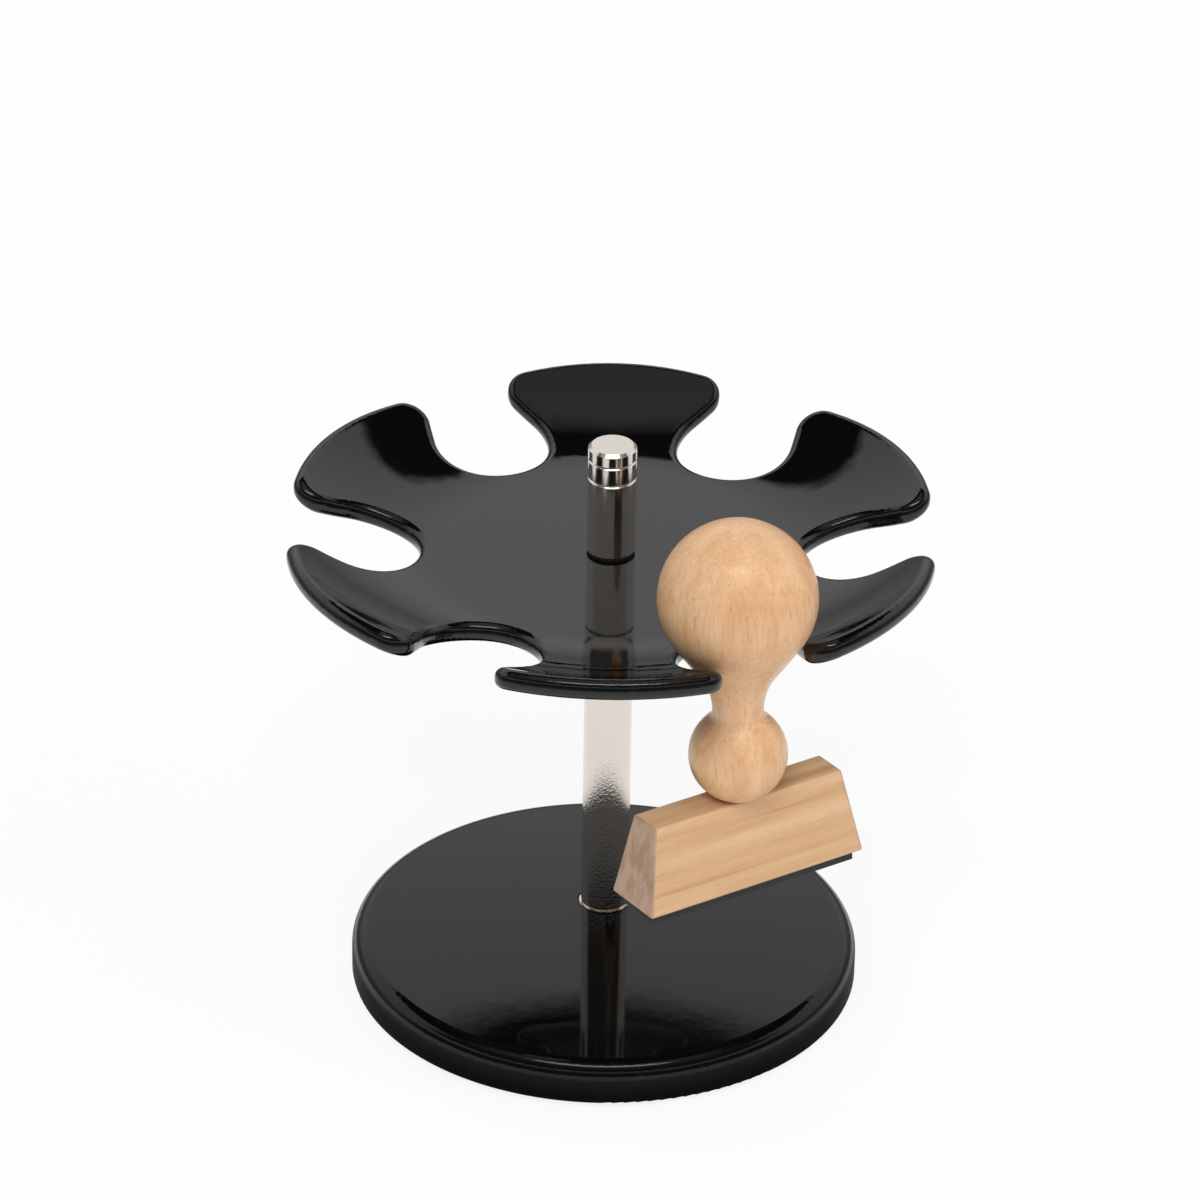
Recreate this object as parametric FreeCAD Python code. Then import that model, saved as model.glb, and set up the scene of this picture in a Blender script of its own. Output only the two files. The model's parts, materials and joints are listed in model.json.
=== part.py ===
# Desk stamp carousel: a weighted disc base, a post, a lobed dish that turns on
# the post and one wooden hand stamp hanging in a notch.
# Millimetres. The origin lies on the rest face, on the axis of the post, +Z up.
import FreeCAD, Part
import math
import os

V = FreeCAD.Vector
UP = V(0, 0, 1)

# Running and seating clearances
running_gap = 0.05
thread_gap = 0.08
washer_gap = 0.15
pad_gap = 0.25
seat_gap = 0.85

# How far a cutting tool runs past the face that it opens, and the smallest
# difference between two lengths that counts
cut_overrun = 1.0
same_length = 0.001

# Base disc, set off from the post so that it reaches further to the front
base_radius = 53.0
base_top = 11.4
base_crown = 1.7
base_offset = 8.6
base_edge_round = 3.6
base_foot_round = 0.8
pad_thickness = 1.6
pad_margin = 2.4
pad_recess = 0.9

# Post with its foot ring
post_radius = 5.0
post_foot_chamfer = 0.4
post_hole_spare = 1.0
foot_ring_radius = 5.35
foot_seat_margin = 0.5
foot_seat_depth = 0.15
foot_ring_thickness = 0.45

# Screw that holds the post from under the base
base_screw_radius = 3.0
base_screw_depth = 14.0
screw_head_radius = 4.9
screw_head_height = 2.6
screw_drive_width = 4.0
screw_drive_depth = 1.5
screw_recess_radius = 6.4
washer_outer_radius = 5.7
flat_washer_thickness = 1.0
lock_washer_thickness = 1.3
lock_washer_outer_radius = 5.0
lock_washer_slit = 0.9

# Dish with six lobes and six open notches
dish_top = 96.0
dish_thickness = 4.2
lobe_count = 6
lobe_reach = 68.7
lobe_end_radius = 50.0
lobe_corner_radius = 4.8
notch_radius = 12.1
notch_flank = 5.2
mouth_half_width = 10.0
dish_flat_radius = 36.0
dish_rise = 9.7
dish_edge_round = 1.8
dish_rim_flat = 0.3
dish_bore_radius = 4.0
blank_spare_angle = 6.0

# Bearing stack between the post and the knob
stud_radius = 2.0
stud_depth_in_post = 12.0
stud_depth_in_knob = 10.0
sleeve_radius = 2.9
bush_flange_radius = 4.8
bush_flange_thickness = 0.8
thrust_washer_thickness = 0.6
top_washer_thickness = 0.6
top_washer_radius = 4.7
axial_play = 0.05

# Knob
knob_radius = 5.0
knob_height = 24.0
knob_chamfer = 0.55
knob_bore_spare = 2.0
groove_width = 0.6
groove_depth = 0.35
first_groove_drop = 3.0
second_groove_drop = 7.2

# Wooden stamp: handle
stamp_notch_index = 3
stamp_lean = 3.0
stamp_turn = 3.5
handle_foot_radius = 4.67
handle_ball_radius = 10.05
handle_lower_hollow = 2.7
handle_neck_radius = 5.2
handle_upper_hollow = 14.0
handle_taper_angle = 35.9
handle_knob_radius = 16.15

# Wooden stamp: block, printing layers and dowel screw
block_height = 18.1
block_top_length = 45.2
block_top_width = 7.9
block_foot_length = 51.6
block_foot_width = 14.6
block_edge_round = 0.5
cushion_thickness = 0.8
cushion_margin = 1.6
die_thickness = 0.8
die_margin = 1.6
die_rib_height = 0.6
die_rib_width = 1.1
die_line_count = 3
dowel_radius = 2.2
dowel_depth_in_handle = 14.0
dowel_depth_in_block = 12.0
dowel_spare = 0.5


def cylinder(radius, low, high):
    return Part.makeCylinder(radius, high - low, V(0, 0, low), UP)


def ring(inner_radius, outer_radius, low, high):
    return cylinder(outer_radius, low, high).cut(cylinder(inner_radius, low, high))


def revolve(edges):
    face = Part.Face(Part.Wire(edges))
    return face.revolve(V(0, 0, 0), UP, 360)


def polar(length, degrees):
    angle = math.radians(degrees)
    return V(length * math.cos(angle), length * math.sin(angle), 0)


def circle_edges(shape, radius, height):
    found = []
    for edge in shape.Edges:
        if edge.Degenerated or not isinstance(edge.Curve, Part.Circle):
            continue
        same_radius = abs(edge.Curve.Radius - radius) < same_length
        if same_radius and abs(edge.Curve.Center.z - height) < same_length:
            found.append(edge)
    return found


# Heights of the base, from the rest face up
base_low = pad_thickness - pad_recess
base_centre = V(0, -base_offset, 0)
recess_roof = base_low + pad_recess
lock_washer_low = recess_roof + screw_head_height
flat_washer_low = lock_washer_low + lock_washer_thickness
screw_floor = flat_washer_low + flat_washer_thickness
crown_radius = (base_radius ** 2 + base_crown ** 2) / (2 * base_crown)
foot_seat_radius = foot_ring_radius + foot_seat_margin
foot_seat_reach = base_offset + foot_seat_radius
crown_drop = crown_radius - math.sqrt(crown_radius ** 2 - foot_seat_reach ** 2)
foot_seat = base_top - crown_drop - foot_seat_depth
post_low = foot_seat + foot_ring_thickness

# Plan of one half of a lobe whose axis is +X. The notch beside it lies on the
# bisector, its straight flank joins its round end to the corner of the lobe.
half_pitch = 180 / lobe_count
lobe_end_centre = V(lobe_reach - lobe_end_radius, 0, 0)
corner_aside = mouth_half_width + lobe_corner_radius
corner_start = polar(corner_aside, half_pitch - 90) - lobe_end_centre
corner_along = polar(1, half_pitch).dot(corner_start)
corner_gap = (lobe_end_radius - lobe_corner_radius) ** 2 - corner_start.dot(corner_start)
corner_distance = math.sqrt(corner_along ** 2 + corner_gap) - corner_along
corner_to_notch = math.hypot(notch_radius + lobe_corner_radius, notch_flank)
notch_step = math.sqrt(corner_to_notch ** 2 - corner_aside ** 2)
notch_centre_radius = corner_distance - notch_step
first_lobe_angle = 90
stamp_notch_angle = first_lobe_angle + half_pitch + 2 * half_pitch * stamp_notch_index

# Heights of the dish and its bearing stack
dish_low = dish_top - dish_thickness
bush_low = dish_low - bush_flange_thickness
thrust_washer_low = bush_low - axial_play - thrust_washer_thickness
post_high = thrust_washer_low
top_washer_low = dish_top + axial_play
knob_low = top_washer_low + top_washer_thickness
knob_high = knob_low + knob_height


def make_base_disc():
    disc = cylinder(base_radius, base_low, base_top)
    crown = Part.makeSphere(crown_radius, V(0, 0, base_top - crown_radius))
    disc = disc.common(crown)
    rim = circle_edges(disc, base_radius, base_top - base_crown)
    disc = disc.makeFillet(base_edge_round, rim)
    disc = disc.makeFillet(base_foot_round, circle_edges(disc, base_radius, base_low))
    recess_radius = base_radius - pad_margin
    disc = disc.cut(cylinder(recess_radius, base_low, recess_roof))
    disc.translate(base_centre)
    disc = disc.cut(cylinder(screw_recess_radius, recess_roof, screw_floor))
    disc = disc.cut(cylinder(foot_seat_radius, foot_seat, base_top + cut_overrun))
    return disc.cut(cylinder(base_screw_radius + washer_gap, screw_floor, base_top))


def make_base_pad():
    pad = cylinder(base_radius - pad_margin - pad_gap, 0, recess_roof)
    pad.translate(base_centre)
    return pad


def make_base_screw():
    shank_top = screw_floor + base_screw_depth
    head = cylinder(screw_head_radius, recess_roof, recess_roof + screw_head_height)
    shank = cylinder(base_screw_radius, recess_roof, shank_top)
    socket = hexagon(screw_drive_width, recess_roof, recess_roof + screw_drive_depth)
    return head.fuse(shank).cut(socket).removeSplitter()


def hexagon(width_across_flats, low, high):
    corner_radius = width_across_flats / math.sqrt(3)
    corners = [polar(corner_radius, 60 * side) for side in range(7)]
    face = Part.Face(Part.makePolygon(corners))
    face.translate(V(0, 0, low))
    return face.extrude(V(0, 0, high - low))


def make_lock_washer():
    top = lock_washer_low + lock_washer_thickness
    hole = base_screw_radius + washer_gap
    washer = ring(hole, lock_washer_outer_radius, lock_washer_low, top)
    corner = V(0, -lock_washer_slit / 2, lock_washer_low)
    reach = lock_washer_outer_radius + cut_overrun
    slit = Part.makeBox(reach, lock_washer_slit, lock_washer_thickness, corner)
    return washer.cut(slit)


def make_flat_washer():
    hole = base_screw_radius + washer_gap
    return ring(hole, washer_outer_radius, flat_washer_low, screw_floor)


def make_foot_ring():
    hole = base_screw_radius + washer_gap
    return ring(hole, foot_ring_radius, foot_seat, post_low)


def make_post_rod():
    rod = cylinder(post_radius, post_low, post_high)
    rod = rod.makeChamfer(post_foot_chamfer, circle_edges(rod, post_radius, post_low))
    screw_hole_top = screw_floor + base_screw_depth + post_hole_spare
    screw_hole = cylinder(base_screw_radius + thread_gap, post_low, screw_hole_top)
    stud_hole_low = post_high - stud_depth_in_post - post_hole_spare
    stud_hole = cylinder(stud_radius + thread_gap, stud_hole_low, post_high)
    return rod.cut(screw_hole).cut(stud_hole)


def make_pivot_stud():
    return cylinder(stud_radius, post_high - stud_depth_in_post, knob_low + stud_depth_in_knob)


def make_pivot_sleeve():
    return ring(stud_radius + thread_gap, sleeve_radius, post_high, knob_low)


def make_thrust_washer():
    top = thrust_washer_low + thrust_washer_thickness
    return ring(sleeve_radius + washer_gap, bush_flange_radius, thrust_washer_low, top)


def make_top_washer():
    return ring(sleeve_radius + washer_gap, top_washer_radius, top_washer_low, knob_low)


def make_knob():
    knob = cylinder(knob_radius, knob_low, knob_high)
    knob = knob.makeChamfer(knob_chamfer, circle_edges(knob, knob_radius, knob_high))
    for drop in (first_groove_drop, second_groove_drop):
        low = knob_high - drop - groove_width / 2
        outer = knob_radius + cut_overrun
        groove = ring(knob_radius - groove_depth, outer, low, low + groove_width)
        knob = knob.cut(groove)
    bore_top = knob_low + stud_depth_in_knob + knob_bore_spare
    return knob.cut(cylinder(stud_radius + thread_gap, knob_low, bore_top))


# Curvature of the dish: flat in the middle, then one arc that turns up
dish_run = lobe_reach - dish_flat_radius
dish_bend_radius = (dish_run ** 2 + dish_rise ** 2) / (2 * dish_rise)


def rise_at(distance):
    run = max(0, distance - dish_flat_radius)
    return dish_bend_radius - math.sqrt(dish_bend_radius ** 2 - run ** 2)


def make_dish_blank():
    bend_centre = V(dish_flat_radius, 0, dish_top + dish_bend_radius)
    sweep = math.degrees(math.asin(dish_run / dish_bend_radius)) + blank_spare_angle

    def bend_point(radius, degrees):
        angle = math.radians(degrees)
        return bend_centre + V(radius * math.sin(angle), 0, -radius * math.cos(angle))

    inner = dish_bend_radius
    outer = dish_bend_radius + dish_thickness
    top_arc = Part.Arc(bend_point(inner, sweep), bend_point(inner, sweep / 2), bend_point(inner, 0))
    low_arc = Part.Arc(bend_point(outer, 0), bend_point(outer, sweep / 2), bend_point(outer, sweep))
    edges = [
        Part.LineSegment(V(0, 0, dish_low), bend_point(outer, 0)).toShape(),
        low_arc.toShape(),
        Part.LineSegment(bend_point(outer, sweep), bend_point(inner, sweep)).toShape(),
        top_arc.toShape(),
        Part.LineSegment(bend_point(inner, 0), V(0, 0, dish_top)).toShape(),
        Part.LineSegment(V(0, 0, dish_top), V(0, 0, dish_low)).toShape(),
    ]
    blank = revolve(edges)
    blank.rotate(V(0, 0, 0), UP, half_pitch)
    return blank


def lobe_side(side):
    # Points of one half of a lobe: the notch's round end, its flank, the corner
    bisector = polar(1, side * half_pitch)
    across = polar(1, side * (half_pitch - 90))
    corner_centre = bisector * corner_distance + across * corner_aside
    notch_centre = bisector * notch_centre_radius
    to_corner = (corner_centre - notch_centre).normalize()
    square = V(-to_corner.y, to_corner.x, 0) * side
    touch = (notch_radius + lobe_corner_radius) / corner_to_notch
    normal = to_corner * touch - square * (notch_flank / corner_to_notch)
    outward = (corner_centre - lobe_end_centre).normalize()
    notch_back = (normal - bisector).normalize()
    corner_front = (outward - normal).normalize()
    return {
        "notch_end": notch_centre - bisector * notch_radius,
        "notch_mid": notch_centre + notch_back * notch_radius,
        "flank_in": notch_centre + normal * notch_radius,
        "flank_out": corner_centre - normal * lobe_corner_radius,
        "corner_mid": corner_centre + corner_front * lobe_corner_radius,
        "corner_end": corner_centre + outward * lobe_corner_radius,
    }


def lobe_edges():
    low = lobe_side(-1)
    high = lobe_side(1)
    curves = [
        Part.Arc(low["notch_end"], low["notch_mid"], low["flank_in"]),
        Part.LineSegment(low["flank_in"], low["flank_out"]),
        Part.Arc(low["flank_out"], low["corner_mid"], low["corner_end"]),
        Part.Arc(low["corner_end"], V(lobe_reach, 0, 0), high["corner_end"]),
        Part.Arc(high["corner_end"], high["corner_mid"], high["flank_out"]),
        Part.LineSegment(high["flank_out"], high["flank_in"]),
        Part.Arc(high["flank_in"], high["notch_mid"], high["notch_end"]),
    ]
    return [curve.toShape() for curve in curves]


def make_dish_outline():
    edges = []
    for index in range(lobe_count):
        turn = first_lobe_angle + 2 * half_pitch * index
        for edge in lobe_edges():
            copy = edge.copy()
            copy.rotate(V(0, 0, 0), UP, turn)
            edges.append(copy)
    return Part.Face(Part.Wire(edges))


def is_rim_edge(edge):
    middle = edge.valueAt((edge.FirstParameter + edge.LastParameter) / 2)
    distance = math.hypot(middle.x, middle.y)
    if distance < notch_centre_radius - notch_radius - same_length:
        return False
    ends = [vertex.Point for vertex in edge.Vertexes]
    flat_length = math.hypot(ends[0].x - ends[1].x, ends[0].y - ends[1].y)
    return flat_length > same_length


def make_carousel_plate():
    outline = make_dish_outline()
    outline.translate(V(0, 0, dish_low - cut_overrun))
    prism_height = dish_thickness + dish_rise + dish_thickness + 2 * cut_overrun
    prism = outline.extrude(V(0, 0, prism_height))
    plate = make_dish_blank().common(prism)
    rim = [edge for edge in plate.Edges if len(edge.Vertexes) == 2 and is_rim_edge(edge)]
    edge_round = min(dish_edge_round, (dish_thickness - dish_rim_flat) / 2)
    plate = plate.makeFillet(edge_round, rim)
    return plate.cut(cylinder(dish_bore_radius, dish_low, dish_top))


def make_plate_bush():
    barrel = cylinder(dish_bore_radius - running_gap / 2, dish_low, dish_top)
    flange = cylinder(bush_flange_radius, bush_low, dish_low)
    bush = barrel.fuse(flange).removeSplitter()
    return bush.cut(cylinder(sleeve_radius + running_gap, bush_low, dish_top))


# The turned handle stands on z = 0 while it is drawn, its foot on the block.
# Its neck is hollowed by two arcs, upright at the narrowest place: one that
# meets the ball below, and a wide one that runs up into a straight taper, which
# meets the knob.


def heading(degrees):
    angle = math.radians(degrees)
    return V(math.cos(angle), 0, math.sin(angle))


def angle_of(vector):
    return math.degrees(math.atan2(vector.z, vector.x))


taper_way = heading(-handle_taper_angle)
ball_height = math.sqrt(handle_ball_radius ** 2 - handle_foot_radius ** 2)
lower_reach = handle_ball_radius + handle_lower_hollow
lower_aside = handle_neck_radius + handle_lower_hollow
neck_height = ball_height + math.sqrt(lower_reach ** 2 - lower_aside ** 2)
neck_narrowing = handle_knob_radius + handle_upper_hollow * (1 - taper_way.x)
knob_rise = (neck_narrowing - handle_neck_radius * taper_way.x) / -taper_way.z
ball_centre = V(0, 0, ball_height)
neck_side = V(handle_neck_radius, 0, neck_height)
knob_centre = V(0, 0, neck_height + knob_rise)
handle_top = knob_centre.z + handle_knob_radius
lower_centre = neck_side + V(handle_lower_hollow, 0, 0)
upper_centre = neck_side + V(handle_upper_hollow, 0, 0)
taper_low = upper_centre - taper_way * handle_upper_hollow
taper_high = knob_centre + taper_way * handle_knob_radius


def make_stamp_handle():
    foot_edge = V(handle_foot_radius, 0, 0)
    ball_side = V(handle_ball_radius, 0, ball_height)
    to_ball = (ball_centre - lower_centre).normalize()
    ball_top = lower_centre + to_ball * handle_lower_hollow
    lower_way = (angle_of(to_ball) % 360 + 180) / 2
    lower_mid = lower_centre + heading(lower_way) * handle_lower_hollow
    upper_mid = upper_centre + heading(180 - handle_taper_angle / 2) * handle_upper_hollow
    knob_side = V(handle_knob_radius, 0, knob_centre.z)
    edges = [
        Part.LineSegment(V(0, 0, 0), foot_edge).toShape(),
        Part.Arc(foot_edge, ball_side, ball_top).toShape(),
        Part.Arc(ball_top, lower_mid, neck_side).toShape(),
        Part.Arc(neck_side, upper_mid, taper_low).toShape(),
        Part.LineSegment(taper_low, taper_high).toShape(),
        Part.Arc(taper_high, knob_side, V(0, 0, handle_top)).toShape(),
        Part.LineSegment(V(0, 0, handle_top), V(0, 0, 0)).toShape(),
    ]
    handle = revolve(edges)
    return handle.cut(cylinder(dowel_radius + running_gap, 0, dowel_depth_in_handle + dowel_spare))


def rectangle_wire(length, width, height):
    x = length / 2
    y = width / 2
    corners = [V(-x, -y, height), V(x, -y, height), V(x, y, height), V(-x, y, height)]
    return Part.makePolygon(corners + corners[:1])


def make_stamp_block():
    top = rectangle_wire(block_top_length, block_top_width, 0)
    foot = rectangle_wire(block_foot_length, block_foot_width, -block_height)
    block = Part.makeLoft([foot, top], True, True)
    block = block.makeFillet(block_edge_round, block.Edges)
    return block.cut(cylinder(dowel_radius + running_gap, -dowel_depth_in_block - dowel_spare, 0))


def make_stamp_cushion():
    length = block_foot_length - 2 * cushion_margin
    width = block_foot_width - 2 * cushion_margin
    low = -block_height - cushion_thickness
    return Part.makeBox(length, width, cushion_thickness, V(-length / 2, -width / 2, low))


def make_stamp_die():
    length = block_foot_length - 2 * die_margin
    width = block_foot_width - 2 * die_margin
    top = -block_height - cushion_thickness
    low = top - die_thickness
    die = Part.makeBox(length, width, die_thickness, V(-length / 2, -width / 2, low))
    frame_low = low - die_rib_height
    frame = Part.makeBox(length, width, die_rib_height, V(-length / 2, -width / 2, frame_low))
    inner_length = length - 2 * die_rib_width
    inner_width = width - 2 * die_rib_width
    corner = V(-inner_length / 2, -inner_width / 2, frame_low)
    die = die.fuse(frame.cut(Part.makeBox(inner_length, inner_width, die_rib_height, corner)))
    pitch = inner_width / (die_line_count + 1)
    line_length = inner_length - 4 * die_rib_width
    for index in range(die_line_count):
        y = -inner_width / 2 + pitch * (index + 1) - die_rib_width / 2
        corner = V(-line_length / 2, y, frame_low)
        die = die.fuse(Part.makeBox(line_length, die_rib_width, die_rib_height, corner))
    return die.removeSplitter()


def make_stamp_dowel():
    return cylinder(dowel_radius, -dowel_depth_in_block, dowel_depth_in_handle)


def stamp_seat_height():
    # Height on the handle where it is as wide as the notch at its rounded edge
    radius = notch_radius + dish_edge_round * (1 - taper_way.x) - seat_gap
    if radius > taper_high.x:
        return knob_centre.z - math.sqrt(handle_knob_radius ** 2 - radius ** 2)
    if radius > taper_low.x:
        share = (radius - taper_low.x) / (taper_high.x - taper_low.x)
        return taper_low.z + share * (taper_high.z - taper_low.z)
    return neck_height + math.sqrt(handle_upper_hollow ** 2 - (upper_centre.x - radius) ** 2)


def place_stamp(shape):
    # The handle drops into the notch until it meets the highest part of its rim,
    # below the face of the dish by what the rounded edge takes away
    flank = lobe_side(1)["flank_in"]
    edge_drop = dish_edge_round * (1 + taper_way.z)
    rim_height = dish_top + rise_at(flank.Length) - edge_drop
    seat = stamp_seat_height()
    placed = shape.copy()
    placed.translate(V(0, 0, -seat))
    placed.rotate(V(0, 0, 0), UP, 90 + stamp_turn)
    placed.rotate(V(0, 0, 0), V(0, 1, 0), -stamp_lean)
    placed.translate(V(notch_centre_radius, 0, rim_height))
    placed.rotate(V(0, 0, 0), UP, stamp_notch_angle)
    return placed


def stamp_axis():
    line = Part.makeLine(V(0, 0, 0), V(0, 0, handle_top))
    placed = place_stamp(line)
    return placed.Vertexes[0].Point, placed.Vertexes[1].Point


parts = {
    "base_disc": make_base_disc(),
    "base_pad": make_base_pad(),
    "base_screw": make_base_screw(),
    "base_lock_washer": make_lock_washer(),
    "base_flat_washer": make_flat_washer(),
    "post_foot_ring": make_foot_ring(),
    "post_rod": make_post_rod(),
    "pivot_stud": make_pivot_stud(),
    "pivot_sleeve": make_pivot_sleeve(),
    "thrust_washer": make_thrust_washer(),
    "top_washer": make_top_washer(),
    "post_knob": make_knob(),
    "carousel_plate": make_carousel_plate(),
    "plate_bush": make_plate_bush(),
    "stamp_handle": place_stamp(make_stamp_handle()),
    "stamp_block": place_stamp(make_stamp_block()),
    "stamp_dowel": place_stamp(make_stamp_dowel()),
    "stamp_cushion": place_stamp(make_stamp_cushion()),
    "stamp_die": place_stamp(make_stamp_die()),
}

os.makedirs("parts", exist_ok=True)
for name, shape in parts.items():
    shape.exportStep(os.path.join("parts", name + ".step"))
    box = shape.BoundBox
    print(name, shape.isValid(), len(shape.Solids), round(shape.Volume, 1),
          [round(value, 2) for value in (box.XMin, box.YMin, box.ZMin, box.XMax, box.YMax, box.ZMax)])

foot, top = stamp_axis()
print("notch centre at", round(notch_centre_radius, 3), "knob centre", round(knob_centre.z, 3))
print("stamp axis from", tuple(round(c, 3) for c in foot), "to", tuple(round(c, 3) for c in top))
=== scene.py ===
import bpy
import json
import math
from mathutils import Matrix, Vector

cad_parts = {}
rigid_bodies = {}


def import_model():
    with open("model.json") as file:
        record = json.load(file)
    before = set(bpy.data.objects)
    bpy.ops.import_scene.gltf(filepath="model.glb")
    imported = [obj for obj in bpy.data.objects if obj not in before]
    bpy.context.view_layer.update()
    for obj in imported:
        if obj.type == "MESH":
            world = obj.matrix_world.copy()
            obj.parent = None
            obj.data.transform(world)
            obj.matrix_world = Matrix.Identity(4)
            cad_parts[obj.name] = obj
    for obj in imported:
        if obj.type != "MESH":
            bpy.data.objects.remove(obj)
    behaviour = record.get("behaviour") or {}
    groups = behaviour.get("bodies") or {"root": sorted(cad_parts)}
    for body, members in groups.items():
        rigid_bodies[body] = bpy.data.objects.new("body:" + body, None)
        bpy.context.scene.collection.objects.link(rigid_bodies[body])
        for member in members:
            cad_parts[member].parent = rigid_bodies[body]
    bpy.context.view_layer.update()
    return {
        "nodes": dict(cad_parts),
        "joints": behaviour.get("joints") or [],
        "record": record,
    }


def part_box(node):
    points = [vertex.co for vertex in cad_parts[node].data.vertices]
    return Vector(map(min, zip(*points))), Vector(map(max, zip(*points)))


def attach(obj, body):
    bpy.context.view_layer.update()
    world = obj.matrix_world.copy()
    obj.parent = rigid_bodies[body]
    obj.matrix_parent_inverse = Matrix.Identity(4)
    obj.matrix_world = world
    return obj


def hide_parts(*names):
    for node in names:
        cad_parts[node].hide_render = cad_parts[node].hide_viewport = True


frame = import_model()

mm = 0.001
bpy.ops.object.select_all(action="DESELECT")
for stray in [o for o in bpy.data.objects if o.name in ("Cube", "Light", "Camera")]:
    bpy.data.objects.remove(stray)
scene = bpy.context.scene
scene.view_settings.view_transform = "Standard"
print("frame loaded:", len(frame["nodes"]), "nodes")


# Shader maths: a wrapped socket takes the usual signs and adds its Math nodes
class Wire:
    def __init__(self, sheet, socket):
        self.sheet = sheet
        self.socket = socket

    def math(self, operation, *sides):
        return self.sheet.add("ShaderNodeMath", {"operation": operation}, dict(enumerate(sides)))

    def __add__(self, other):
        return self.math("ADD", self, other)

    def __radd__(self, other):
        return self.math("ADD", other, self)

    def __sub__(self, other):
        return self.math("SUBTRACT", self, other)

    def __rsub__(self, other):
        return self.math("SUBTRACT", other, self)

    def __mul__(self, other):
        return self.math("MULTIPLY", self, other)

    def __rmul__(self, other):
        return self.math("MULTIPLY", other, self)

    def size(self):
        return self.math("ABSOLUTE", self)

    def above(self, low, high):
        # 0 up to low, 1 from high on
        values = {"Value": self, "From Min": low, "From Max": high}
        return self.sheet.add("ShaderNodeMapRange", {"clamp": True}, values)

    def within(self, foot, head):
        return self.above(*foot) * (1 - self.above(*head))


class Sheet:
    def __init__(self, owner):
        self.owner = owner
        owner.use_nodes = True
        self.tree = owner.node_tree
        self.tree.nodes.clear()

    def add(self, kind, settings=None, values=None, output=0):
        node = self.tree.nodes.new(kind)
        for key, setting in (settings or {}).items():
            setattr(node, key, setting)
        for key, value in (values or {}).items():
            self.feed(node.inputs[key], value)
        if len(node.outputs):
            return Wire(self, node.outputs[output])

    def feed(self, socket, value):
        if isinstance(value, Wire):
            self.tree.links.new(value.socket, socket)
        elif socket.type == "RGBA":
            socket.default_value = (*value, 1)
        else:
            socket.default_value = value

    def place(self, stretch=(1, 1, 1), turn=(0, 0, 0), at=(0, 0, 0)):
        # Object coordinates, taken from a point and along turned axes, then stretched
        spot = self.add("ShaderNodeTexCoord", output="Object")
        values = {"Vector": spot, "Location": at, "Rotation": turn}
        turned = self.add("ShaderNodeMapping", {"vector_type": "TEXTURE"}, values)
        return self.add("ShaderNodeMapping", {"vector_type": "POINT"}, {"Vector": turned, "Scale": stretch})

    def part(self, vector, axis):
        return self.add("ShaderNodeSeparateXYZ", {}, {0: vector}, output=axis)

    def noise(self, where, scale, detail, rough, warp=0.0):
        values = {"Vector": where, "Scale": scale, "Detail": detail, "Roughness": rough, "Distortion": warp}
        return self.add("ShaderNodeTexNoise", {"noise_dimensions": "3D"}, values)

    def blend(self, share, first, second):
        # On a colour Mix node, input 0 is the share, 6 and 7 the colours and output 2 the result
        values = {0: share, 6: first, 7: second}
        return self.add("ShaderNodeMix", {"data_type": "RGBA"}, values, output=2)

    def bump(self, height, distance, strength=1.0):
        return self.add("ShaderNodeBump", {}, {"Height": height, "Distance": distance, "Strength": strength})

    def bumpOver(self, under, height, distance):
        return self.add("ShaderNodeBump", {}, {"Height": height, "Distance": distance, "Normal": under})

    def ray(self, kind):
        return self.add("ShaderNodeLightPath", output="Is " + kind + " Ray")

    def finish(self, values):
        shader = self.add("ShaderNodeBsdfPrincipled", {}, values)
        self.add("ShaderNodeOutputMaterial", {}, {"Surface": shader})
        return self.owner


def newSheet(name):
    return Sheet(bpy.data.materials.new(name))


def between(ends, share):
    low, high = ends
    return low + (high - low) * share


def weave(first, second, share):
    return first * share + second * (1 - share)


# In every look, a pattern is its scale, detail, roughness and, last, its distortion,
# an edge is the stretch of a pattern over which a share runs from 0 to 1,
# and a rough is the least and the most roughness
enamelLook = {
    "colour": (0.002, 0.002, 0.0022), "dust": (0.02, 0.02, 0.02), "dustShare": 0.3,
    "specks": (2100.0, 1.0, 0.5), "speckEdge": (0.70, 0.74),
    "peel": (300.0, 1.5, 0.4), "finePeel": (1100.0, 1.0, 0.5), "fineShare": 0.18,
    "sag": (38.0, 2.0, 0.55), "sagShare": 1.2, "sagEdge": (0.35, 0.70),
    "height": 0.000007, "rough": (0.03, 0.07),
}


def enamel(name, look, index):
    # Thick gloss enamel: a slight peel bends the reflections, a few specks of dust lie in it
    sheet = newSheet(name)
    where = sheet.place()
    specks = sheet.noise(where, *look["specks"]).above(*look["speckEdge"])
    sag = sheet.noise(where, *look["sag"])
    peel = sheet.noise(where, *look["peel"]) + sheet.noise(where, *look["finePeel"]) * look["fineShare"]
    return sheet.finish({
        "Base Color": sheet.blend(specks * look["dustShare"], look["colour"], look["dust"]),
        "Roughness": between(look["rough"], sag.above(*look["sagEdge"])),
        "Normal": sheet.bump(peel + sag * look["sagShare"], look["height"]),
        "IOR": index})


nickelLook = {
    "colour": (0.82, 0.755, 0.69), "shade": (0.72, 0.67, 0.61), "lineShare": 0.6,
    "lines": (2600.0, 2.0, 0.6), "lineStretch": (1, 1, 0.012), "broad": (120.0, 2.0, 0.5),
    "fineShare": 0.5, "roughEdge": (0.35, 0.65),
}
postCoat = {"grain": (2000.0, 2.0, 0.6), "grainHeight": 0.000020, "lineHeight": 0.000004,
            "rough": (0.05, 0.09)}
knobCoat = {"grain": (3600.0, 2.0, 0.6), "grainHeight": 0.000002, "lineHeight": 0.000012,
            "rough": (0.10, 0.20)}


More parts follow.
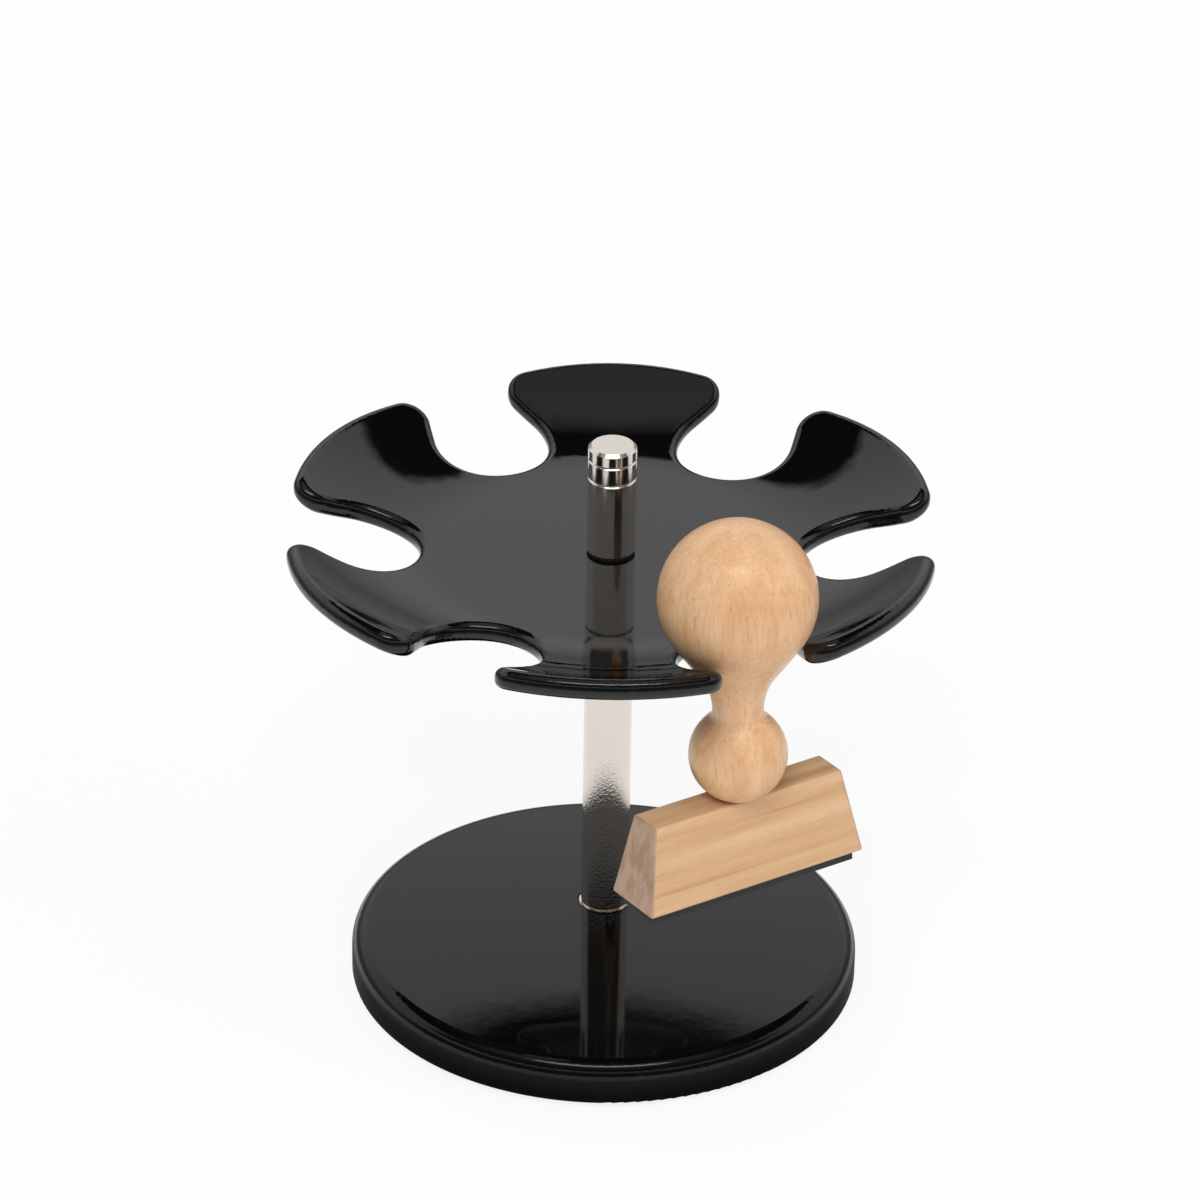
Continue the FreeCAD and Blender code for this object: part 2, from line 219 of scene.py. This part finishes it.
def nickel(name, look, coat):
    # Warm nickel plate: fine lines along the post over an even grain
    sheet = newSheet(name)
    where = sheet.place()
    lines = sheet.noise(sheet.place(look["lineStretch"]), *look["lines"])
    grain = sheet.noise(where, *coat["grain"])
    broad = sheet.noise(where, *look["broad"])
    patches = weave(grain, lines, look["fineShare"]).above(*look["roughEdge"])
    grainBump = sheet.bump(grain, coat["grainHeight"])
    return sheet.finish({
        "Base Color": sheet.blend(weave(lines, broad, look["lineShare"]), look["colour"], look["shade"]),
        "Roughness": between(coat["rough"], patches),
        "Metallic": 1.0,
        "Normal": sheet.bumpOver(grainBump, lines, coat["lineHeight"])})


# Where the stamp hangs: its foot comes from the swivel joint
stampPose = {"notchAngle": -60.0, "lean": 3.0, "turn": 3.5}
swivel = [joint for joint in frame["joints"] if joint["name"] == "stamp_swivel"][0]
stampFoot = tuple(swivel["pos_m"])
stampTurn = (Matrix.Rotation(math.radians(stampPose["notchAngle"]), 3, "Z")
             @ Matrix.Rotation(math.radians(-stampPose["lean"]), 3, "Y")
             @ Matrix.Rotation(math.radians(90 + stampPose["turn"]), 3, "Z"))
stampEuler = tuple(stampTurn.to_euler())


def onStamp(sheet, stretch=(1, 1, 1)):
    # The stamp's own axes: x along the block, z up the handle
    return sheet.place(stretch, stampEuler, stampFoot)


turnedLook = {
    "pale": (0.80, 0.52, 0.30), "tan": (0.66, 0.36, 0.165), "warm": (0.60, 0.27, 0.105),
    "fleck": (0.42, 0.19, 0.08), "grainStretch": (1, 1, 0.07), "rayStretch": (1, 1, 0.11),
    "cloudStretch": (1, 1, 0.5), "bands": (260.0, 3.0, 0.55, 0.4), "strands": (1500.0, 3.0, 0.65),
    "bandShare": 0.5, "grainEdge": (0.34, 0.68), "rays": (1900.0, 1.0, 0.5), "rayEdge": (0.60, 0.72),
    "rayShare": 0.34, "clouds": (90.0, 2.0, 0.5, 0.5), "cloudEdge": (0.48, 0.72), "cloudShare": 0.55,
    "pit": 0.5, "height": 0.00002, "strength": 0.5, "index": 1.45, "lacquerRough": 0.19,
}


def turnedBeech(name, look, rough, lacquer):
    # Grain along the turning axis, fine dark rays and a few warmer clouds
    sheet = newSheet(name)
    along = onStamp(sheet, look["grainStretch"])
    bands = sheet.noise(along, *look["bands"])
    strands = sheet.noise(along, *look["strands"])
    rays = sheet.noise(onStamp(sheet, look["rayStretch"]), *look["rays"]).above(*look["rayEdge"])
    clouds = sheet.noise(onStamp(sheet, look["cloudStretch"]), *look["clouds"]).above(*look["cloudEdge"])
    grain = weave(bands, strands, look["bandShare"]).above(*look["grainEdge"])
    colour = sheet.blend(grain, look["pale"], look["tan"])
    colour = sheet.blend(clouds * look["cloudShare"], colour, look["warm"])
    colour = sheet.blend(rays * look["rayShare"], colour, look["fleck"])
    return sheet.finish({
        "Base Color": colour, "Roughness": between(rough, strands),
        "Normal": sheet.bump(strands - rays * look["pit"], look["height"], look["strength"]),
        "IOR": look["index"], "Coat Weight": lacquer, "Coat Roughness": look["lacquerRough"]})


# The block's lengths, its height and its skin of end grain are in mm
planedLook = {
    "endLength": 45.2, "footLength": 51.6, "height": 18.1, "skin": 0.45, "skinEdge": 0.05,
    "pale": (0.70, 0.46, 0.27), "tan": (0.56, 0.32, 0.155), "dark": (0.44, 0.235, 0.11),
    "endPale": (0.50, 0.335, 0.24), "endDark": (0.37, 0.235, 0.16),
    "grainStretch": (0.035, 1, 1), "rayStretch": (0.12, 1, 1), "ringStretch": (0.2, 1, 0.5),
    "bands": (330.0, 2.0, 0.5, 0.35), "strands": (1700.0, 3.0, 0.65), "bandShare": 0.75,
    "grainEdge": (0.36, 0.66), "darkEdge": (0.60, 0.66), "darkShare": 0.35,
    "rays": (2000.0, 1.0, 0.5), "rayEdge": (0.62, 0.74), "rayShare": 0.22,
    "rings": (420.0, 2.0, 0.5, 0.6), "pores": (3200.0, 2.0, 0.6), "ringShare": 0.75,
    "endEdge": (0.40, 0.62), "bumpHeight": 0.00003, "strength": 0.6, "rough": (0.55, 0.75), "index": 1.4,
}


def planedBeech(name, look):
    # Long bands on the sides, darker end grain where the surface lies near either end
    sheet = newSheet(name)
    along = onStamp(sheet, look["grainStretch"])
    bands = sheet.noise(along, *look["bands"])
    strands = sheet.noise(along, *look["strands"])
    rays = sheet.noise(onStamp(sheet, look["rayStretch"]), *look["rays"]).above(*look["rayEdge"])
    side = weave(bands, strands, look["bandShare"]).above(*look["grainEdge"])
    side = sheet.blend(side, look["pale"], look["tan"])
    dark = bands.above(*look["darkEdge"]) * look["darkShare"] + rays * look["rayShare"]
    side = sheet.blend(dark, side, look["dark"])
    spot = onStamp(sheet)
    rings = sheet.noise(onStamp(sheet, look["ringStretch"]), *look["rings"])
    pores = sheet.noise(spot, *look["pores"])
    endTone = weave(rings, pores, look["ringShare"]).above(*look["endEdge"])
    splay = (look["footLength"] - look["endLength"]) / 2 / look["height"]
    inside = (look["endLength"] / 2 - look["skin"]) * mm
    fromMiddle = sheet.part(spot, "X").size() + sheet.part(spot, "Z") * splay
    end = fromMiddle.above(inside, inside + look["skinEdge"] * mm)
    colour = sheet.blend(end, side, sheet.blend(endTone, look["endPale"], look["endDark"]))
    fibres = strands * (1 - end) + pores * end
    return sheet.finish({
        "Base Color": colour, "Roughness": between(look["rough"], pores),
        "Normal": sheet.bump(fibres, look["bumpHeight"], look["strength"]), "IOR": look["index"]})


plainLook = {"fineDetail": (2.0, 0.6), "broad": (90.0, 2.0, 0.5), "fineShare": 0.5, "wearEdge": (0.38, 0.66),
             "strength": 0.8}


def plain(name, colour, worn, rough, metal=0.0, scale=900.0, depth=0.00002, look=plainLook):
    # An even finish, slightly worn in patches
    sheet = newSheet(name)
    where = sheet.place()
    fine = sheet.noise(where, scale, *look["fineDetail"])
    broad = sheet.noise(where, *look["broad"])
    wear = weave(fine, broad, look["fineShare"]).above(*look["wearEdge"])
    return sheet.finish({
        "Base Color": sheet.blend(wear, colour, worn), "Roughness": between(rough, fine), "Metallic": metal,
        "Normal": sheet.bump(fine, depth, look["strength"])})


steel = ((0.60, 0.61, 0.63), (0.50, 0.50, 0.51))
brass = ((0.80, 0.60, 0.28), (0.66, 0.47, 0.20))
darkNylon = ((0.010, 0.010, 0.011), (0.018, 0.018, 0.019))
paleNylon = ((0.80, 0.79, 0.74), (0.72, 0.70, 0.65))
padTone = ((0.022, 0.022, 0.023), (0.035, 0.035, 0.035))
foamTone = ((0.060, 0.060, 0.063), (0.035, 0.035, 0.037))
dieTone = ((0.016, 0.016, 0.018), (0.026, 0.026, 0.028))
finishes = {
    "base_enamel": enamel("glossBlackBase", enamelLook, index=1.36),
    "dish_enamel": enamel("glossBlackDish", enamelLook, index=1.5),
    "post_nickel": nickel("satinNickelPost", nickelLook, postCoat),
    "knob_nickel": nickel("turnedNickelKnob", nickelLook, knobCoat),
    "handle_beech": turnedBeech("turnedBeech", turnedLook, rough=(0.36, 0.52), lacquer=0.45),
    "block_beech": planedBeech("planedBeech", planedLook),
    "dowel_wood": turnedBeech("dowelWood", turnedLook, rough=(0.50, 0.66), lacquer=0.0),
    "zinc_steel": plain("zincSteel", *steel, rough=(0.25, 0.4), metal=1.0),
    "sleeve_brass": plain("turnedBrass", *brass, rough=(0.2, 0.35), metal=1.0),
    "black_nylon": plain("blackNylon", *darkNylon, rough=(0.4, 0.55)),
    "white_nylon": plain("naturalNylon", *paleNylon, rough=(0.35, 0.5)),
    "pad_rubber": plain("padRubber", *padTone, rough=(0.7, 0.9), scale=1400.0, depth=0.00012),
    "cushion_foam": plain("cushionFoam", *foamTone, rough=(0.8, 0.95), scale=2400.0, depth=0.0001),
    "die_rubber": plain("dieRubber", *dieTone, rough=(0.5, 0.7), scale=1800.0, depth=0.00003),
}
slotOf = {part["node"]: part["material_slot"] for part in frame["record"]["subparts"]}
for node, piece in frame["nodes"].items():
    piece.data.materials.clear()
    piece.data.materials.append(finishes[slotOf[node]])
print("materials:", len(finishes))


def turned(rings, sides, smoothAngle):
    # A disc is drawn up through its rings of radius and height, then its foot is closed
    bpy.ops.object.select_all(action="DESELECT")
    radius, height = rings[0]
    start = (0, 0, height)
    bpy.ops.mesh.primitive_circle_add(vertices=sides, radius=radius, fill_type="NGON", location=start)
    bpy.ops.object.mode_set(mode="EDIT")
    bpy.ops.mesh.select_all(action="SELECT")
    for nextRadius, nextHeight in rings[1:]:
        bpy.ops.mesh.extrude_region_move(TRANSFORM_OT_translate={"value": (0, 0, nextHeight - height)})
        share = nextRadius / radius
        bpy.ops.transform.resize(value=(share, share, 1), center_override=(0, 0, nextHeight))
        radius, height = nextRadius, nextHeight
    bpy.ops.mesh.select_all(action="DESELECT")
    bpy.ops.mesh.select_non_manifold()
    bpy.ops.mesh.edge_face_add()
    bpy.ops.mesh.select_all(action="SELECT")
    bpy.ops.mesh.normals_make_consistent(inside=False)
    bpy.ops.object.mode_set(mode="OBJECT")
    bpy.ops.object.transform_apply(location=True, rotation=True, scale=True)
    bpy.ops.object.shade_smooth_by_angle(angle=math.radians(smoothAngle))
    return bpy.context.object


def dress(piece, name, node, body):
    piece.name = name
    piece.data.name = name
    piece.data.materials.clear()
    piece.data.materials.append(finishes[slotOf[node]])
    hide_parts(node)
    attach(piece, body)
    print("piece:", name, len(piece.data.polygons), "faces")


knobCut = {"chamfer": 0.66, "chamferRise": 0.85, "foot": 0.15, "grooveWidth": 0.62, "grooveDepth": 0.37,
           "drops": (7.2, 3.0), "topRing": 0.5, "sides": 128, "smoothAngle": 28}


def addKnob(cut):
    # Two grooves lie at their drops below the top, over a small chamfer at the foot
    low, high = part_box("post_knob")
    radius = (high[0] - low[0]) / 2
    foot = cut["foot"] * mm
    chamfer = cut["chamfer"] * mm
    half = cut["grooveWidth"] * mm / 2
    depth = cut["grooveDepth"] * mm
    rings = [(radius - foot, low[2]), (radius, low[2] + foot)]
    for drop in cut["drops"]:
        middle = high[2] - drop * mm
        rings += [(radius, middle - half), (radius - depth, middle), (radius, middle + half)]
    rings += [(radius, high[2] - chamfer * cut["chamferRise"]), (radius - chamfer, high[2])]
    rings.append((radius * cut["topRing"], high[2]))
    dress(turned(rings, cut["sides"], cut["smoothAngle"]), "turnedKnob", "post_knob", "stand")


addKnob(knobCut)

# Camera fitted to the photograph: it aims past the post by small angles
cameraView = {"focalPx": 6717.5, "framePx": 1200.0, "sensor": 36.0, "distance": 1.428564,
              "elevation": 32.521, "roll": 1.05, "aside": -0.085, "above": 2.941, "reach": 20.0}


def addCamera(view):
    tilt = math.radians(view["elevation"])
    spot = Vector((0, -math.cos(tilt), math.sin(tilt))) * view["distance"]
    ahead = -spot.normalized()
    right = Vector((1, 0, 0))
    up = right.cross(ahead)
    aside = right * math.tan(math.radians(view["aside"]))
    above = up * math.tan(math.radians(view["above"]))
    ahead = (ahead + aside + above).normalized()
    right = ahead.cross(up).normalized()
    up = right.cross(ahead)
    roll = math.radians(view["roll"])
    sideways = right * math.cos(roll) + up * math.sin(roll)
    upwards = up * math.cos(roll) - right * math.sin(roll)
    lens = bpy.data.cameras.new("photoCamera")
    lens.lens = view["focalPx"] / view["framePx"] * view["sensor"]
    lens.sensor_width = view["sensor"]
    lens.clip_end = view["reach"]
    camera = bpy.data.objects.new("photoCamera", lens)
    facing = Matrix((sideways, upwards, -ahead)).transposed().to_4x4()
    camera.matrix_world = Matrix.Translation(spot) @ facing
    scene.collection.objects.link(camera)
    scene.camera = camera


addCamera(cameraView)

# What the gloss mirrors: a white backdrop, dimmer low down, up to the height where the dark
# of the room begins, a paler ceiling, a dim room behind the camera with a lit band, and one
# long lamp strip over it. Edges are heights of a direction, or its depth where the wall turns
studio = {
    "backdrop": 0.92, "low": 0.32, "lowEdge": (0.18, 0.40),
    "room": 0.012, "roomSlope": 0.24, "roomEdge": (0.588, 0.612),
    "ceiling": 0.46, "farCeilingEdge": (0.78, 0.88), "nearCeilingEdge": (0.74, 0.90),
    "behind": 0.09, "turnEdge": (-0.12, 0.10),
    "band": 0.85, "bandFoot": (0.34, 0.38), "bandHead": (0.50, 0.52),
    "strip": 6.0, "stripNear": (0.22, 0.27), "stripFoot": (0.885, 0.905), "stripHead": (0.945, 0.96),
    "stripEnds": (0.30, 0.36), "soft": 0.50,
}


def addWorld(look):
    world = bpy.data.worlds.new("studio")
    scene.world = world
    sheet = Sheet(world)
    way = sheet.add("ShaderNodeTexCoord", output="Generated")
    aside = sheet.part(way, "X").size()
    deep = sheet.part(way, "Y")
    height = sheet.part(way, "Z")
    edge = height - look["roomSlope"] * aside
    pale = between((look["low"], look["backdrop"]), height.above(*look["lowEdge"]))
    wall = pale - (pale - look["room"]) * edge.above(*look["roomEdge"])
    far = wall + (look["ceiling"] - look["room"]) * edge.above(*look["farCeilingEdge"])
    near = between((look["behind"], look["ceiling"]), height.above(*look["nearCeilingEdge"]))
    near = near + look["band"] * height.within(look["bandFoot"], look["bandHead"])
    tone = between((near, far), deep.above(*look["turnEdge"]))
    strip = (0 - deep).above(*look["stripNear"]) * height.within(look["stripFoot"], look["stripHead"])
    strip = strip * (1 - aside.above(*look["stripEnds"]))
    tone = tone + strip * look["strip"]
    mirrored = sheet.ray("Glossy") + sheet.ray("Transmission")
    tone = between((look["soft"], tone), mirrored)
    tone = between((tone, 1), sheet.ray("Camera"))
    colour = sheet.add("ShaderNodeCombineXYZ", {}, {"X": tone, "Y": tone, "Z": tone})
    shader = sheet.add("ShaderNodeBackground", {}, {"Color": colour})
    sheet.add("ShaderNodeOutputWorld", {}, {"Surface": shader})


# The floor is white; close round the base a painted shadow darkens the glow that mirrored rays see,
# and far from it a painted fade dims that reflected glow
floorLook = {
    "size": 6.0, "drop": 0.0002, "colour": (0.90, 0.90, 0.90), "white": 0.86,
    "tooth": (60.0, 2.0, 0.5), "toothHeight": 0.0001, "toothStrength": 0.2,
    # shade and the far fade are painted shade in the floor's mirrored glow, not cast by any lamp
    "glow": (1.0, 1.0, 1.0), "shade": 0.12, "paintedShadeEdge": (0.057, 0.074),
    "mirror": 0.95, "paintedFarShade": 0.22, "paintedFadeEdge": (0.22, 0.55),
}


def addFloor(look):
    bpy.ops.mesh.primitive_plane_add(size=look["size"], location=(0, 0, -look["drop"]))
    floor = bpy.context.object
    floor.name = "paleFloor"
    sheet = newSheet("paleFloor")
    tooth = sheet.noise(sheet.place(), *look["tooth"])
    rough = sheet.bump(tooth, look["toothHeight"], look["toothStrength"])
    matt = sheet.add("ShaderNodeBsdfDiffuse", {}, {"Color": look["colour"], "Normal": rough})
    spot = sheet.add("ShaderNodeTexCoord", output="Object")
    low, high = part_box("base_disc")
    centre = ((low[0] + high[0]) / 2, (low[1] + high[1]) / 2, 0.0)
    values = {0: spot, 1: centre}
    gap = sheet.add("ShaderNodeVectorMath", {"operation": "DISTANCE"}, values, output="Value")
    # Painted shadow: the mirrored glow drops to the shade round the base, and a painted fade dims it far out
    clear = between((look["shade"], look["mirror"]), gap.above(*look["paintedShadeEdge"]))
    clear = clear - (look["mirror"] - look["paintedFarShade"]) * gap.above(*look["paintedFadeEdge"])
    camera = sheet.ray("Camera")
    mirrored = sheet.ray("Glossy") + sheet.ray("Transmission")
    strength = camera + clear * mirrored
    glow = sheet.add("ShaderNodeEmission", {}, {"Color": look["glow"], "Strength": strength})
    share = camera * look["white"] + mirrored
    mixed = sheet.add("ShaderNodeMixShader", {}, {0: share, 1: matt, 2: glow})
    sheet.add("ShaderNodeOutputMaterial", {}, {"Surface": mixed})
    floor.data.materials.append(sheet.owner)


lampAim = Vector((0, 0, 0.07))
lamps = {
    "keyBox": {"at": (-0.10, -0.90, 1.25), "size": 0.55, "power": 9.5},
    "sideBox": {"at": (1.05, -0.35, 0.85), "size": 0.6, "power": 4.5},
    "backBox": {"at": (-0.55, 1.1, 0.95), "size": 0.7, "power": 5.0},
}


def addLamp(name, lamp):
    light = bpy.data.lights.new(name, "AREA")
    light.shape = "SQUARE"
    light.size = lamp["size"]
    light.energy = lamp["power"]
    holder = bpy.data.objects.new(name, light)
    spot = Vector(lamp["at"])
    facing = (lampAim - spot).to_track_quat("-Z", "Y").to_matrix().to_4x4()
    holder.matrix_world = Matrix.Translation(spot) @ facing
    holder.visible_glossy = False
    scene.collection.objects.link(holder)


addWorld(studio)
addFloor(floorLook)
for lampName, lamp in lamps.items():
    addLamp(lampName, lamp)
print("stage: floor, world and", len(lamps), "lamps")
